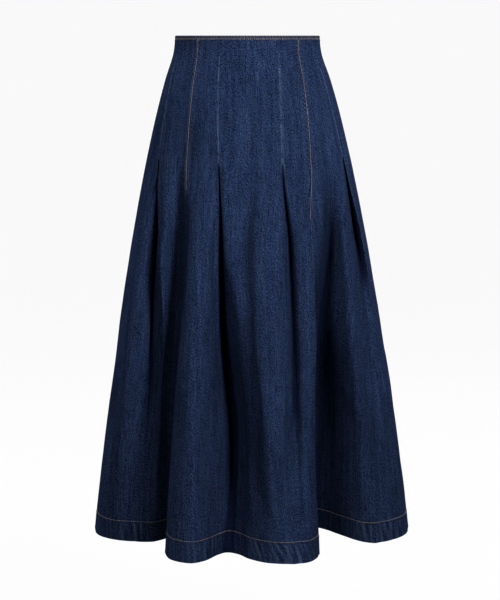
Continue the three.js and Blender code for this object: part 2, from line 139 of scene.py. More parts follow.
# Pleats: the height they spring open at, half the opening and the depth behind the lips at the last
# seven of pleatHeights, how far the bottom leans toward the next fold for each millimetre of depth,
# and how far the left lip comes to lie behind the right one
pleatHeights = (0, -14, -32, -70, -130, -290, -465, -634)
pleats = {
    "pleatOuterLeft": (-200, (1.4, 2.6, 5.5, 10, 11, 10, 9), (9, 16, 24, 29, 15, 4, 1), -0.7, 6),
    "pleatInnerLeft": (-206, (1.5, 2.4, 3.6, 6, 12, 18, 15), (7, 12, 18, 21, 34, 40, 12), 0.15, 13),
    "pleatInnerRight": (-211, (1.8, 3.2, 4.8, 7.2, 9.4, 8, 8), (7, 12, 17, 19, 16, 4, 1), 0.15, 8),
    "pleatOuterRight": (-200, (1.4, 2.4, 5, 11, 15, 14, 12), (8, 15, 22, 18, 1.5, 1, 0.6), 1.1, 3),
    "backPleatOuterRight": (-208, (1.7, 2.5, 3.4, 5, 6, 8, 10), (6, 10, 14, 15, 20, 22, 22), 0, 3),
    "backPleatInnerRight": (-218, (1.7, 2.5, 3.2, 4.5, 7, 10, 14), (6, 10, 14, 16, 30, 38, 42), 0, 6),
    "backPleatInnerLeft": (-213, (1.7, 2.5, 3.3, 4.5, 6, 9, 12), (6, 10, 14, 16, 26, 32, 36), 0, 5),
    "backPleatOuterLeft": (-210, (1.7, 2.5, 3.4, 5, 5.5, 7, 8), (6, 10, 14, 15, 18, 18, 17), 0, 3),
}
pleatSeam = {"mouth": 0.8, "depth": 0.35}
dropCurve = ((0, -130, -290, -465, -634), (0, 0.6, 1, 0.7, 0))

# How the cloth falls away beside a pleat's left and right lips: depth and half width
plainShoulders = ((1.5, 6), (1.5, 6))
shoulders = {
    "pleatOuterLeft": ((2.5, 11), (3.0, 12)),
    "pleatInnerLeft": ((4.5, 17), (2.0, 7)),
    "pleatInnerRight": ((1.2, 5), (4.5, 15)),
    "pleatOuterRight": ((1.5, 6), (1.0, 4)),
}


def smoothCurve(heights, values, at):
    # A cubic through values at falling heights whose slope at each is the harmonic mean of the slopes
    # on its two sides, or nothing where they point opposite ways, so it never overshoots.
    x = -np.asarray(heights, float)
    y = np.asarray(values, float)
    t = -np.asarray(at, float)
    step = np.diff(x)
    rise = np.diff(y) / step
    slope = np.zeros(len(y))
    slope[0], slope[-1] = rise[0], rise[-1]
    same = rise[:-1] * rise[1:] > 0
    total = np.where(same, rise[:-1] + rise[1:], 1)
    slope[1:-1] = np.where(same, 2 * rise[:-1] * rise[1:] / total, 0)
    i = np.clip(np.searchsorted(x, t, side="right") - 1, 0, len(x) - 2)
    u = np.clip((t - x[i]) / step[i], 0, 1)
    h00 = (1 + 2 * u) * (1 - u) ** 2
    h01 = u * u * (3 - 2 * u)
    h10 = u * (1 - u) ** 2
    h11 = -u * u * (1 - u)
    return h00 * y[i] + h01 * y[i + 1] + step[i] * (h10 * slope[i] + h11 * slope[i + 1])


def pointsAt(turn, out, height, lift):
    # A point of the plain skirt's oval at a turn, both reaches grown by out; the hem's lift grows
    # with the square of the height.
    angle = np.radians(turn)
    across, ahead = np.sin(angle), np.cos(angle)
    sectionHeights, *reaches = sectionRows.T
    left, right, front, back = (smoothCurve(sectionHeights, reach, height) for reach in reaches)
    acrossReach = np.where(across < 0, left, right) + out
    aheadReach = np.where(ahead < 0, back, front) + out
    lifted = height + lift * (height / length) ** 2
    return np.stack([acrossReach * across, -aheadReach * ahead, lifted], axis=-1)


def foldPoints(name, heights):
    # One fold line: its turn and how far it stands out are cubics through its row of the table.
    row = folds[name]
    turn = smoothCurve(foldHeights, row[:6], heights)
    out = smoothCurve(foldHeights, (0,) + row[6:11], heights)
    return pointsAt(turn, out, heights, row[11])


def skirtLines(heights):
    # Every line at every height, as an array of rows by lines by three. A plain fold is one line, and a
    # pleat is lip, bottom and lip, set out along the way from the fold before it to the one after it.
    lines = []
    names = []
    for number, name in enumerate(foldNames):
        here = foldPoints(name, heights)
        if name not in pleats:
            lines.append(here)
            names.append(name)
            continue
        release, mouths, depths, lean, drop = pleats[name]
        below = heights - release
        mouth = smoothCurve(pleatHeights, (pleatSeam["mouth"],) + mouths, below)[:, None]
        depth = smoothCurve(pleatHeights, (pleatSeam["depth"],) + depths, below)[:, None]
        along = foldPoints(foldNames[number + 1], heights) - foldPoints(foldNames[number - 1], heights)
        along[:, 2] = 0
        along /= np.linalg.norm(along, axis=1, keepdims=True)
        inward = np.stack([-along[:, 1], along[:, 0], 0 * along[:, 0]], axis=1)
        dropped = drop * smoothCurve(*dropCurve, below)[:, None]
        bottom = here + (inward + lean * along) * (depth + dropped)
        lines += [here - along * mouth + inward * dropped, bottom, here + along * mouth]
        names += [name + "A", name, name + "B"]
    return np.stack(lines, axis=1), names


lineNames = skirtLines(np.array([0.0]))[1]
lineCount = len(lineNames)


def clothPoints(heights, places):
    # A closed centripetal Catmull-Rom curve through the lines of each height. places holds, for each
    # height, line numbers and the share of the way to the next line.
    lines = skirtLines(heights)[0]
    rows = np.arange(len(heights))[:, None]
    whole = np.floor(places).astype(int)
    w = (places - whole)[..., None]
    p0, p1, p2, p3 = (lines[rows, (whole + k) % lineCount] for k in (-1, 0, 1, 2))
    gap = [np.maximum(np.sum((b - a) ** 2, axis=-1, keepdims=True) ** 0.25, 1e-4)
           for a, b in ((p0, p1), (p1, p2), (p2, p3))]
    t1 = ((p1 - p0) / gap[0] - (p2 - p0) / (gap[0] + gap[1]) + (p2 - p1) / gap[1]) * gap[1]
    t2 = ((p2 - p1) / gap[1] - (p3 - p1) / (gap[1] + gap[2]) + (p3 - p2) / gap[2]) * gap[1]
    return p1 + t1 * w + (-3 * p1 + 3 * p2 - 2 * t1 - t2) * w ** 2 + (2 * p1 - 2 * p2 + t1 + t2) * w ** 3


def unit(vectors):
    return vectors / np.maximum(np.linalg.norm(vectors, axis=-1, keepdims=True), 1e-9)


def softNoise(x, y, seed):
    # Random values on a whole-number lattice, blended with a smooth step between neighbours, -1 to 1.
    table = np.random.default_rng(seed).uniform(-1, 1, (64, 64))
    x, y = np.broadcast_arrays(np.asarray(x, float), np.asarray(y, float))
    i, j = np.floor(x).astype(int), np.floor(y).astype(int)
    u, v = x - i, y - j
    u, v = u * u * (3 - 2 * u), v * v * (3 - 2 * v)
    a, b = table[i % 64, j % 64], table[(i + 1) % 64, j % 64]
    c, d = table[i % 64, (j + 1) % 64], table[(i + 1) % 64, (j + 1) % 64]
    return (a * (1 - u) + b * u) * (1 - v) + (c * (1 - u) + d * u) * v


def bell(distance, width):
    # One at no distance, falling off with the square of the distance in widths.
    return np.exp(-((distance / width) ** 2))


def ramp(value, low, high):
    # Nothing up to low and one from high on, with a smooth step between them.
    t = np.clip((value - low) / (high - low), 0, 1)
    return t * t * (3 - 2 * t)


# Soft creases on the front and back, in the plane that faces the viewer: start across and height, end
# across and height, half width, and depth, which is negative for a ridge
creases = {
    "front": [
        (-88, -120, -82, -480, 7, -1.3),
        (50, -110, 55, -260, 9, -0.9),
        (70, -90, 66, -230, 9, 0.7),
        (-26, -24, 26, -20, 5, 0.9),
        (52, -32, 68, -26, 5, 0.7),
        (-60, -52, -20, -40, 7, 0.5),
        (151, -590, 190, -680, 8, 1.1),
        (160, -575, 200, -650, 9, -0.8),
        (30, -330, 18, -470, 12, 1.6),
        (12, -520, 22, -690, 13, 2.0),
        (-205, -480, -225, -700, 16, 1.6),
        (-176, -520, -190, -690, 14, -1.4),
        (-92, -600, -104, -780, 14, -1.3),
        (78, -560, 70, -760, 14, 1.2),
        (100, -470, 102, -640, 12, 1.0),
        (206, -430, 222, -640, 14, 1.6),
        (232, -560, 246, -740, 13, -1.2),
    ],
    "back": [
        (-40, -38, 14, -28, 7, 0.8),
        (60, -60, 96, -48, 7, 0.6),
        (20, -300, 26, -520, 14, 1.5),
        (-34, -420, -30, -640, 15, 1.4),
        (-150, -560, -196, -660, 8, 2.0),
        (168, -600, 206, -700, 8, 2.0),
        (212, -460, 226, -640, 14, 1.4),
        (-214, -500, -230, -700, 15, 1.5),
    ],
}


def creaseRelief(points):
    # Each crease is a bell across its own segment, faded to nothing toward both ends.
    x, z = points[..., 0], points[..., 2]
    relief = np.zeros(x.shape)
    for side, rows in creases.items():
        facing = points[..., 1] < 0 if side == "front" else points[..., 1] > 0
        for x0, z0, x1, z1, width, depth in rows:
            dx, dz = x1 - x0, z1 - z0
            t = ((x - x0) * dx + (z - z0) * dz) / (dx * dx + dz * dz)
            away = np.hypot(x - x0 - np.clip(t, 0, 1) * dx, z - z0 - np.clip(t, 0, 1) * dz)
            fade = np.sin(np.pi * np.clip(t, 0, 1)) ** 0.7
            relief -= np.where(facing, depth * bell(away, width) * fade, 0)
    return relief


# Panels: the two fold lines each is sewn at, and which of its edges are topstitched
panels = {
    "front_panel": {"first": "seamFrontLeft", "last": "seamFrontRight", "stitched": (1, 1)},
    "front_side_panel_right": {"first": "seamFrontRight", "last": "sideSeamRight", "stitched": (0, 0)},
    "back_side_panel_right": {"first": "sideSeamRight", "last": "seamBackRight", "stitched": (0, 0)},
    "back_panel_right": {"first": "seamBackRight", "last": "centreBack", "stitched": (0, 0)},
    "back_panel_left": {"first": "centreBack", "last": "seamBackLeft", "stitched": (0, 0)},
    "back_side_panel_left": {"first": "seamBackLeft", "last": "sideSeamLeft", "stitched": (0, 0)},
    "front_side_panel_left": {"first": "sideSeamLeft", "last": "seamFrontLeft", "stitched": (0, 0)},
}
mesh = {
    "edgeSteps": (0, 0.35, 0.9, 1.4, 2.0, 2.8, 4.0, 5.4),
    "acrossStep": 4.2,
    "middleHeight": -505.0,
    "waistRows": (0, 0.12, 0.45, 1.0, 1.8, 2.8, 3.8, 4.8, 5.6, 6.4, 7.4, 8.6, 9.6, 11),
    "upperStep": 3.2,
    "lowerStep": 6.0,
    "hemStep": 3.0,
    "hemRows": (3.0, 1.8, 1.0, 0.45, 0.12, 0),
}


def panelHeights():
    # Heights of the rows of a panel: close at both folded edges, wider between them.
    upper = -np.arange(13, 222, mesh["upperStep"])
    lower = -np.arange(226, length - skirt["hemTurn"] - 5, mesh["lowerStep"])
    hemTop = skirt["hemTurn"] - length
    aboveStitch = hemTop + np.array([3.6, 1.6])
    hem = np.arange(hemTop, 4.0 - length, -mesh["hemStep"])
    edge = np.array(mesh["hemRows"]) - length
    return np.concatenate([-np.array(mesh["waistRows"]), upper, lower, aboveStitch, hem, edge]).astype(float)


def panelPlaces(first, last, heights):
    # Columns of places: the first and last columns keep set distances from the seams in millimetres,
    # and between two lines the columns are evenly spread.
    ownLines = np.arange(first, last + 1.0)
    atHeights = clothPoints(np.array([-float(length), mesh["middleHeight"]]), np.tile(ownLines, (2, 1)))
    spans = np.linalg.norm(np.diff(atHeights, axis=1), axis=2).max(axis=0)
    ones = np.ones((len(heights), 1))
    edge = np.array(mesh["edgeSteps"])
    columns = []
    for k, span in enumerate(spans):
        line = first + k
        steps = max(3, int(math.ceil(span / mesh["acrossStep"])))
        if 0 < k < len(spans) - 1:
            columns.append(ones * (line + np.arange(steps) / steps))
            continue
        pair = clothPoints(heights, ones * np.array([[line, line + 1.0]]))
        near = edge / np.linalg.norm(pair[:, 1] - pair[:, 0], axis=1)[:, None]
        near = near[:, edge > 0] if k else near
        rest = np.arange(1, steps) / steps
        if k == 0:
            columns.append(line + near)
            columns.append(line + near[:, -1:] + (1 - near[:, -1:]) * rest)
        else:
            columns.append(line + (1 - near[:, -1:]) * np.append(0, rest))
            columns.append(line + 1 - near[:, ::-1])
            columns.append(ones * (line + 1))
    return np.concatenate(columns, axis=1)


def seamGapAt(name, heights):
    # Half the gap at a seam: wide at the zip head, narrow below it, closed under the zip.
    if name != "centreBack":
        return np.full(len(heights), skirt["seamGap"] / 2)
    depth = -heights
    open_ = ramp(-depth, -skirt["zipHeadDepth"] - 14, -skirt["zipHeadDepth"])
    narrow = ramp(-depth, -skirt["zipLength"] - 10, -skirt["zipLength"])
    gap = skirt["zipSeamGap"] * open_ + (1 - open_) * (
        skirt["zipGapBelowHead"] * narrow + skirt["seamGap"] * (1 - narrow))
    return gap / 2


def panelSurface(name):
    # The outer face of a panel as a grid: the spline through the lines, moved along its own outward
    # normal by seams, stitching, puckers, creases and a soft unevenness, all in millimetres.
    panel = panels[name]
    first, last = lineNames.index(panel["first"]), lineNames.index(panel["last"])
    if last <= first:
        last += lineCount
    heights = panelHeights()
    places = panelPlaces(first, last, heights)
    base = clothPoints(heights, places)
    down = np.gradient(base, axis=0)
    across = np.gradient(base, axis=1)
    normals = unit(np.cross(across, -down))

    steps = np.linalg.norm(np.diff(base, axis=1), axis=-1)
    along = np.concatenate([np.zeros((len(heights), 1)), np.cumsum(steps, axis=1)], axis=1)
    width = along[:, -1:]
    fromSeams = (along, width - along)
    depth = -heights[:, None] + 0 * along
    hemHeight = (length + heights)[:, None] + 0 * along

    # The grain is measured on each side of a pleat's bottom from the middle of the cloth there
    def columnOf(line):
        line = lineNames.index(line)
        return int(np.argmin(np.abs(places[len(heights) // 2] - line - (lineCount if line < first else 0))))

    def pleatColumns(parts):
        found = [(name, part, columnOf(name + part)) for name in pleats for part in parts]
        return [row for row in found if 0 < row[2] < places.shape[1] - 1]

    bottoms = sorted(column for _, _, column in pleatColumns([""]))
    grain = along.copy()
    for start, end in zip([0] + bottoms, bottoms + [places.shape[1]]):
        middle = (start + end) // 2
        grain[:, start:end] -= along[:, middle:middle + 1] - along[-1, middle]

    relief = 0.9 * softNoise(along / 34 + 7, depth / 95, 3) + 0.45 * softNoise(along / 13, depth / 60, 4)
    relief *= 0.25 + 0.75 * ramp(depth, 180, 520)
    relief += creaseRelief(base)

    # Cloth that lies in a hollow, behind the mean of its row about it, is painted darker: painted shade in
    # the folds
    nearby = np.exp(-(((along[:, :, None] - along[:, None, :]) / 48) ** 2))
    nearby *= np.gradient(along, axis=1)[:, None, :]
    nearby /= nearby.sum(axis=2, keepdims=True)
    hollow = -np.sum((base - nearby @ base) * normals, axis=-1)
    wearAndPaintedLight = -0.9 * ramp(hollow, 4, 21) * ramp(depth, 190, 330)
    stitchInset = skirt["topStitchInset"]
    for side, away in enumerate(fromSeams):
        relief -= 0.95 * bell(away, 0.75)
        # Painted shadow: a dark line beside each topstitched seam; plain seams are worn a little paler
        wearAndPaintedLight += (-1.1 if panel["stitched"][side] else 0.3) * bell(away - 0.4, 1.0)
        stitchEnd = skirt["topStitchEnds"][side]
        above = ramp(-depth, -stitchEnd, -stitchEnd + 60)
        slant = depth - (0.8 if side else -0.8) * away
        uneven = softNoise(depth / 16, away / 14 + 11 * side, 21 + side)
        pucker = np.sin(2 * np.pi * slant / 5.6 + 2.2 * uneven)
        pucker *= 0.55 + 0.45 * softNoise(depth / 21, 5 * side + 0.3, 23)
        if panel["stitched"][side]:
            relief -= above * 0.5 * bell(away - stitchInset, 0.7)
            relief += above * 0.6 * pucker * bell(away - 5.0, 4.0)
            relief += above * 0.35 * (1 - ramp(away, 4, 12))
            # The puckers are painted lighter on their crests and darker in their valleys: partly wear, partly
            # painted light and shade
            wearAndPaintedLight += above * 1.3 * pucker * bell(away - 5.0, 3.4)
        else:
            relief += 0.16 * pucker * bell(away - 2.5, 3.5)

    # Waist: a stitched groove and the slanting rope of the turned edge above it
    waistAlong = along - width / 2
    rope = np.sin(2 * np.pi * (waistAlong / 4.4 - depth / 9) + 1.4 * softNoise(waistAlong / 22, 0, 31))
    ropeBand = ramp(depth, 0.2, 1.2) * (1 - ramp(depth, 4.4, 5.2))
    ropeBand *= 0.5 + 0.5 * ramp(softNoise(waistAlong / 40, 0.5, 32), -0.6, 0.5)
    relief += 0.3 * rope * ropeBand
    relief -= 0.5 * bell(depth - skirt["waistStitch"], 0.9)
    relief += 0.3 * ramp(-depth, -12, -8.5) * ramp(depth, 6, 7)
    wearAndPaintedLight += 0.2 * ropeBand
    wearAndPaintedLight += 0.12 * softNoise(waistAlong / 5, depth / 11, 33) * ramp(-depth, -26, -8)

    # Hem: a stitched groove, the ridge of the turned cloth, and puckers that lean along the band
    hemStitch = skirt["hemTurn"]
    band = 1 - ramp(hemHeight, hemStitch - 5, hemStitch)
    lean = along + 0.22 * hemHeight
    puckers = np.sin(2 * np.pi * lean / 10.5 + 3.4 * softNoise(along / 21, hemHeight / 60, 41))
    puckers = 0.45 * puckers + 0.75 * softNoise(lean / 4.6, hemHeight / 30, 42)
    strength = 0.35 + 0.65 * ramp(softNoise(along / 55, 0.3, 43), -0.5, 0.8)
    relief += 0.8 * puckers * strength * band * ramp(hemHeight, 0, 9)
    relief += 0.3 * puckers * strength * bell(hemHeight - hemStitch - 5, 7)
    relief -= 0.6 * bell(hemHeight - hemStitch, 1.3)
    relief += 0.25 * bell(hemHeight - hemStitch + 3.5, 3)
    wearAndPaintedLight += 0.65 * puckers * strength * band + 0.35 * bell(hemHeight, 1.4)
    wearAndPaintedLight += 0.2 * puckers * strength * bell(hemHeight - hemStitch - 5, 7)
    # Painted shadow: a dark line in the groove just below the hem stitch
    wearAndPaintedLight -= 0.5 * bell(hemHeight - hemStitch + 1.8, 1.2)

    # Stitched pleat seams are worn pale and the lips just below each opening are drawn paler; a painted
    # highlight marks the top of each opening, and the bottoms are painted dark as painted shade
    sewn = ramp(-depth, -222, -205)
    for pleatName, part, column in pleatColumns(("A", "", "B")):
        release, _, depths, _, _ = pleats[pleatName]
        aside = along - along[:, column:column + 1]
        away = np.abs(aside)
        broken = ramp(softNoise(depth / 7, column, 51), -0.5, 0.3) * ramp(depth, 22, 60)
        wearAndPaintedLight += (0.35 if part else 1.0) * sewn * bell(away, 0.7) * broken * 1.25
        if not part:
            sunkDepth = smoothCurve(pleatHeights, (0,) + depths, heights - release)
            # Painted shade: the cloth down a pleat's bottom is darkened by its depth
            wearAndPaintedLight -= 1.1 * ramp(sunkDepth, 3, 12)[:, None] * bell(away, 9)
        else:
            wearAndPaintedLight += (1 - sewn) * ramp(-depth, -330, -215) * bell(away, 1.4) * 0.25
            # Painted highlight at each lip where the pleat springs open
            wearAndPaintedLight += 0.5 * bell(depth - 206, 6) * bell(away, 1.2)
            outside = aside * (1 if part == "B" else -1)
            deep, wide = shoulders.get(pleatName, plainShoulders)[part == "B"]
            fall = deep * ramp(depth, 195, 230) * ramp(-depth, -640, -330)
            relief -= fall * np.where(outside > 0, bell(outside, wide), bell(outside, 3))

    points = base + normals * relief[..., None]
    edges = [seamGapAt(panel["first"], heights), seamGapAt(panel["last"], heights)]
    for column, way, gap in ((0, 1, edges[0]), (-1, -1, edges[1])):
        points[:, column] += unit(across[:, column]) * (way * gap)[:, None]

    # The wall is doubled at the waist and hem turnings and nearly doubled beside the seams, but less so
    # in the sewn pleat lines
    turned = 1 - ramp(depth, skirt["waistTurn"], skirt["waistTurn"] + 1.5)
    turned = np.maximum(turned, 1 - ramp(hemHeight, hemStitch, hemStitch + 1.5))
    allowance = np.zeros(along.shape)
    for away in fromSeams:
        allowance = np.maximum(allowance, 1 - ramp(away, skirt["seamAllowance"] - 1, skirt["seamAllowance"]))
    wall = skirt["cloth"] * (1 + np.maximum(turned, 0.8 * allowance))
    tight = np.zeros(along.shape)
    for _, _, column in pleatColumns([""]):
        tight = np.maximum(tight, bell(along - along[:, column:column + 1], 6))
    wall = np.where(depth < 230, wall - 0.6 * (wall - skirt["cloth"]) * tight, wall)

    # It is drawn thinner than real cloth at the lips of the open pleats, where the inner face would
    # otherwise show through the outer one. The faces still cross in the sharpest of these folds
    thinned = ramp(depth, 205, 225) * ramp(-depth, -720, -600)
    for _, _, column in pleatColumns("AB"):
        wall = wall - (wall - skirt["thinnest"]) * thinned * bell(along - along[:, column:column + 1], 10)

    # Both folded edges are rounded: the two faces close in over the last millimetre
    fromEdge = np.minimum(depth, hemHeight)
    roundOver = 1 - np.sqrt(np.clip(1 - (1 - np.clip(fromEdge / 1.2, 0, 1)) ** 2, 0, 1))
    outer = points - normals * (0.5 * wall * roundOver)[..., None]
    inner = points - normals * (wall - 0.42 * wall * roundOver)[..., None]
    return {
        "heights": heights, "outer": outer, "inner": inner, "normals": normals, "along": along,
        "grain": grain, "wearAndPaintedLight": np.clip(wearAndPaintedLight, -1, 1), "depth": depth,
    }


def gridFaces(rows, columns, offset, flip):
    # The quads between neighbouring points of a grid that is numbered row by row from offset.
    a = np.arange(rows - 1)[:, None] * columns + np.arange(columns - 1)[None, :] + offset
    quads = np.stack([a, a + columns, a + columns + 1, a + 1], axis=-1).reshape(-1, 4)
    return quads[:, ::-1] if flip else quads


def makeMesh(name, points, faces, materials, slots=None, uv=None, smooth=True):
    # points are millimetres; faces is an array of quads or of triangles.
    data = bpy.data.meshes.new(name)
    data.vertices.add(len(points))
    data.vertices.foreach_set("co", (points * millimetre).astype(np.float32).ravel())
    corners = faces.shape[1]
    data.loops.add(faces.size)
    data.loops.foreach_set("vertex_index", faces.astype(np.int32).ravel())
    data.polygons.add(len(faces))
    data.polygons.foreach_set("loop_start", np.arange(0, faces.size, corners, dtype=np.int32))
    for material in materials:
        data.materials.append(material)
    if slots is not None:
        data.polygons.foreach_set("material_index", slots.astype(np.int32))
    if uv is not None:
        layer = data.uv_layers.new(name="cloth")
        layer.data.foreach_set("uv", uv[faces.ravel()].astype(np.float32).ravel())
    data.update(calc_edges=True)
    data.validate()
    data.polygons.foreach_set("use_smooth", np.full(len(faces), smooth))
    obj = bpy.data.objects.new(name, data)
    bpy.context.collection.objects.link(obj)
    return obj


def addAttribute(obj, name, values):
    layer = obj.data.attributes.new(name, "FLOAT", "POINT")
    layer.data.foreach_set("value", values.astype(np.float32).ravel())


# Materials


def nodeGroup(name, inputs, outputs):
    group = bpy.data.node_groups.new(name, "ShaderNodeTree")
    for label, kind in inputs:
        group.interface.new_socket(name=label, in_out="INPUT", socket_type=kind)
    for label, kind in outputs:
        group.interface.new_socket(name=label, in_out="OUTPUT", socket_type=kind)
    entry = group.nodes.new("NodeGroupInput")
    leave = group.nodes.new("NodeGroupOutput")
    return group, entry, leave


def mathNode(tree, operation, a, b=None, clamp=False):
    node = tree.nodes.new("ShaderNodeMath")
    node.operation = operation
    node.use_clamp = clamp
    for socket, value in zip(node.inputs, (a, b)):
        if value is None:
            continue
        if hasattr(value, "is_linked"):
            tree.links.new(value, socket)
        else:
            socket.default_value = value
    return node.outputs[0]


def noiseNode(tree, vector, scale, stretch, detail=2.0, roughness=0.5):
    mapping = tree.nodes.new("ShaderNodeMapping")
    mapping.inputs["Scale"].default_value = (scale * stretch[0], scale * stretch[1], scale)
    tree.links.new(vector, mapping.inputs["Vector"])
    noise = tree.nodes.new("ShaderNodeTexNoise")
    noise.noise_dimensions = "2D"
    noise.inputs["Scale"].default_value = 1.0
    noise.inputs["Detail"].default_value = detail
    noise.inputs["Roughness"].default_value = roughness
    tree.links.new(mapping.outputs[0], noise.inputs["Vector"])
    return noise.outputs[0]


def waveNode(tree, vector, angle, spacing):
    mapping = tree.nodes.new("ShaderNodeMapping")
    mapping.inputs["Rotation"].default_value = (0, 0, math.radians(angle))
    tree.links.new(vector, mapping.inputs["Vector"])
    wave = tree.nodes.new("ShaderNodeTexWave")
    wave.bands_direction = "X"
    wave.inputs["Scale"].default_value = 2 * math.pi / 20 / spacing
    wave.inputs["Distortion"].default_value = 0.6
    wave.inputs["Detail"].default_value = 1.0
    tree.links.new(mapping.outputs[0], wave.inputs["Vector"])
    return wave.outputs["Fac"]


def mixColour(tree, factor, a, b, blend="MIX"):
    node = tree.nodes.new("ShaderNodeMix")
    node.data_type = "RGBA"
    node.blend_type = blend
    for socket, value in ((node.inputs["Factor"], factor), (node.inputs["A"], a), (node.inputs["B"], b)):
        if hasattr(value, "is_linked"):
            tree.links.new(value, socket)
        else:
            socket.default_value = value
    return node.outputs["Result"]


# Denim: the UV map is in millimetres of cloth, U across the grain and V along it
denim = {
    "deep": (0.0048, 0.0070, 0.027, 1),
    "indigo": (0.0120, 0.0250, 0.081, 1),
    "pale": (0.080, 0.126, 0.238, 1),
    "rubbedAndHighlight": (0.13, 0.185, 0.285, 1),
    "rope": (0.15, 0.145, 0.17, 1),
    "reverseWarp": (0.035, 0.055, 0.1, 1),
    "reverseWeft": (0.17, 0.195, 0.235, 1),
    "twillSpacing": 1.05,
    "twillAngle": 28,
    "ropeSpacing": 4.6,
    "ropeAngle": -30,
    "meanShade": 0.39,
}


def denimWeave():
    # Specks of warp and weft, slanting twill streaks, uneven yarns along the grain and a broad
    # cloudiness, mixed into one shade from 0 to 1, one height and one cloud value.
    group, entry, leave = nodeGroup(
        "denimWeave", [("Vector", "NodeSocketVector")],
        [("Shade", "NodeSocketFloat"), ("Height", "NodeSocketFloat"), ("Cloud", "NodeSocketFloat")])
    vector = entry.outputs["Vector"]
    turned = group.nodes.new("ShaderNodeMapping")
    turned.inputs["Rotation"].default_value = (0, 0, math.radians(denim["twillAngle"]))
    group.links.new(vector, turned.inputs["Vector"])
    twill = waveNode(group, vector, denim["twillAngle"], denim["twillSpacing"])
    streak = noiseNode(group, turned.outputs[0], 1.0, (0.85, 0.33), 1.0, 0.5)
    yarn = noiseNode(group, vector, 1.0, (0.55, 0.05), 1.5, 0.5)
    slub = noiseNode(group, vector, 1.0, (0.16, 0.009), 1.5, 0.5)
    speck = noiseNode(group, vector, 1.0, (1.1, 0.72), 1.0, 0.6)
    cloud = noiseNode(group, vector, 1.0, (0.02, 0.008), 2.0, 0.5)
    parts = ((speck, 4.6), (streak, 1.9), (yarn, 0.85), (slub, 0.6), (twill, 0.2))
    shade = mathNode(group, "ADD", denim["meanShade"] - sum(weight for _, weight in parts) / 2, 0.0)
    for value, weight in parts:
        shade = mathNode(group, "ADD", shade, mathNode(group, "MULTIPLY", value, weight))
    shade = mathNode(group, "ADD", shade, 0.0, clamp=True)
    height = mathNode(group, "MULTIPLY", twill, 0.4)
    for value, weight in ((speck, 0.6), (yarn, 0.3)):
        height = mathNode(group, "ADD", height, mathNode(group, "MULTIPLY", value, weight))
    group.links.new(shade, leave.inputs["Shade"])
    group.links.new(height, leave.inputs["Height"])
    group.links.new(cloud, leave.inputs["Cloud"])
    return group


def plainMaterial(name, roughness, metallic=0.0, sheen=0.0):
    material = bpy.data.materials.new(name)
    material.use_nodes = True
    tree = material.node_tree
    shader = tree.nodes["Principled BSDF"]
    shader.inputs["Roughness"].default_value = roughness
    shader.inputs["Metallic"].default_value = metallic
    shader.inputs["Sheen Weight"].default_value = sheen
    return material, tree, shader


def bumpInto(tree, shader, height, strength, distance):
    bump = tree.nodes.new("ShaderNodeBump")
    bump.inputs["Strength"].default_value = strength
    bump.inputs["Distance"].default_value = distance
    tree.links.new(height, bump.inputs["Height"])
    tree.links.new(bump.outputs["Normal"], shader.inputs["Normal"])


def colourRamp(tree, factor, stops):
    node = tree.nodes.new("ShaderNodeValToRGB")
    elements = node.color_ramp.elements
    while len(elements) < len(stops):
        elements.new(0.5)
    for element, (place, colour) in zip(elements, stops):
        element.position = place
        element.color = colour
    tree.links.new(factor, node.inputs["Fac"])
    return node.outputs["Color"]


def objectNoise(tree, scale):
    place = tree.nodes.new("ShaderNodeTexCoord")
    noise = tree.nodes.new("ShaderNodeTexNoise")
    noise.inputs["Scale"].default_value = scale
    tree.links.new(place.outputs["Object"], noise.inputs["Vector"])
    return noise.outputs[0]


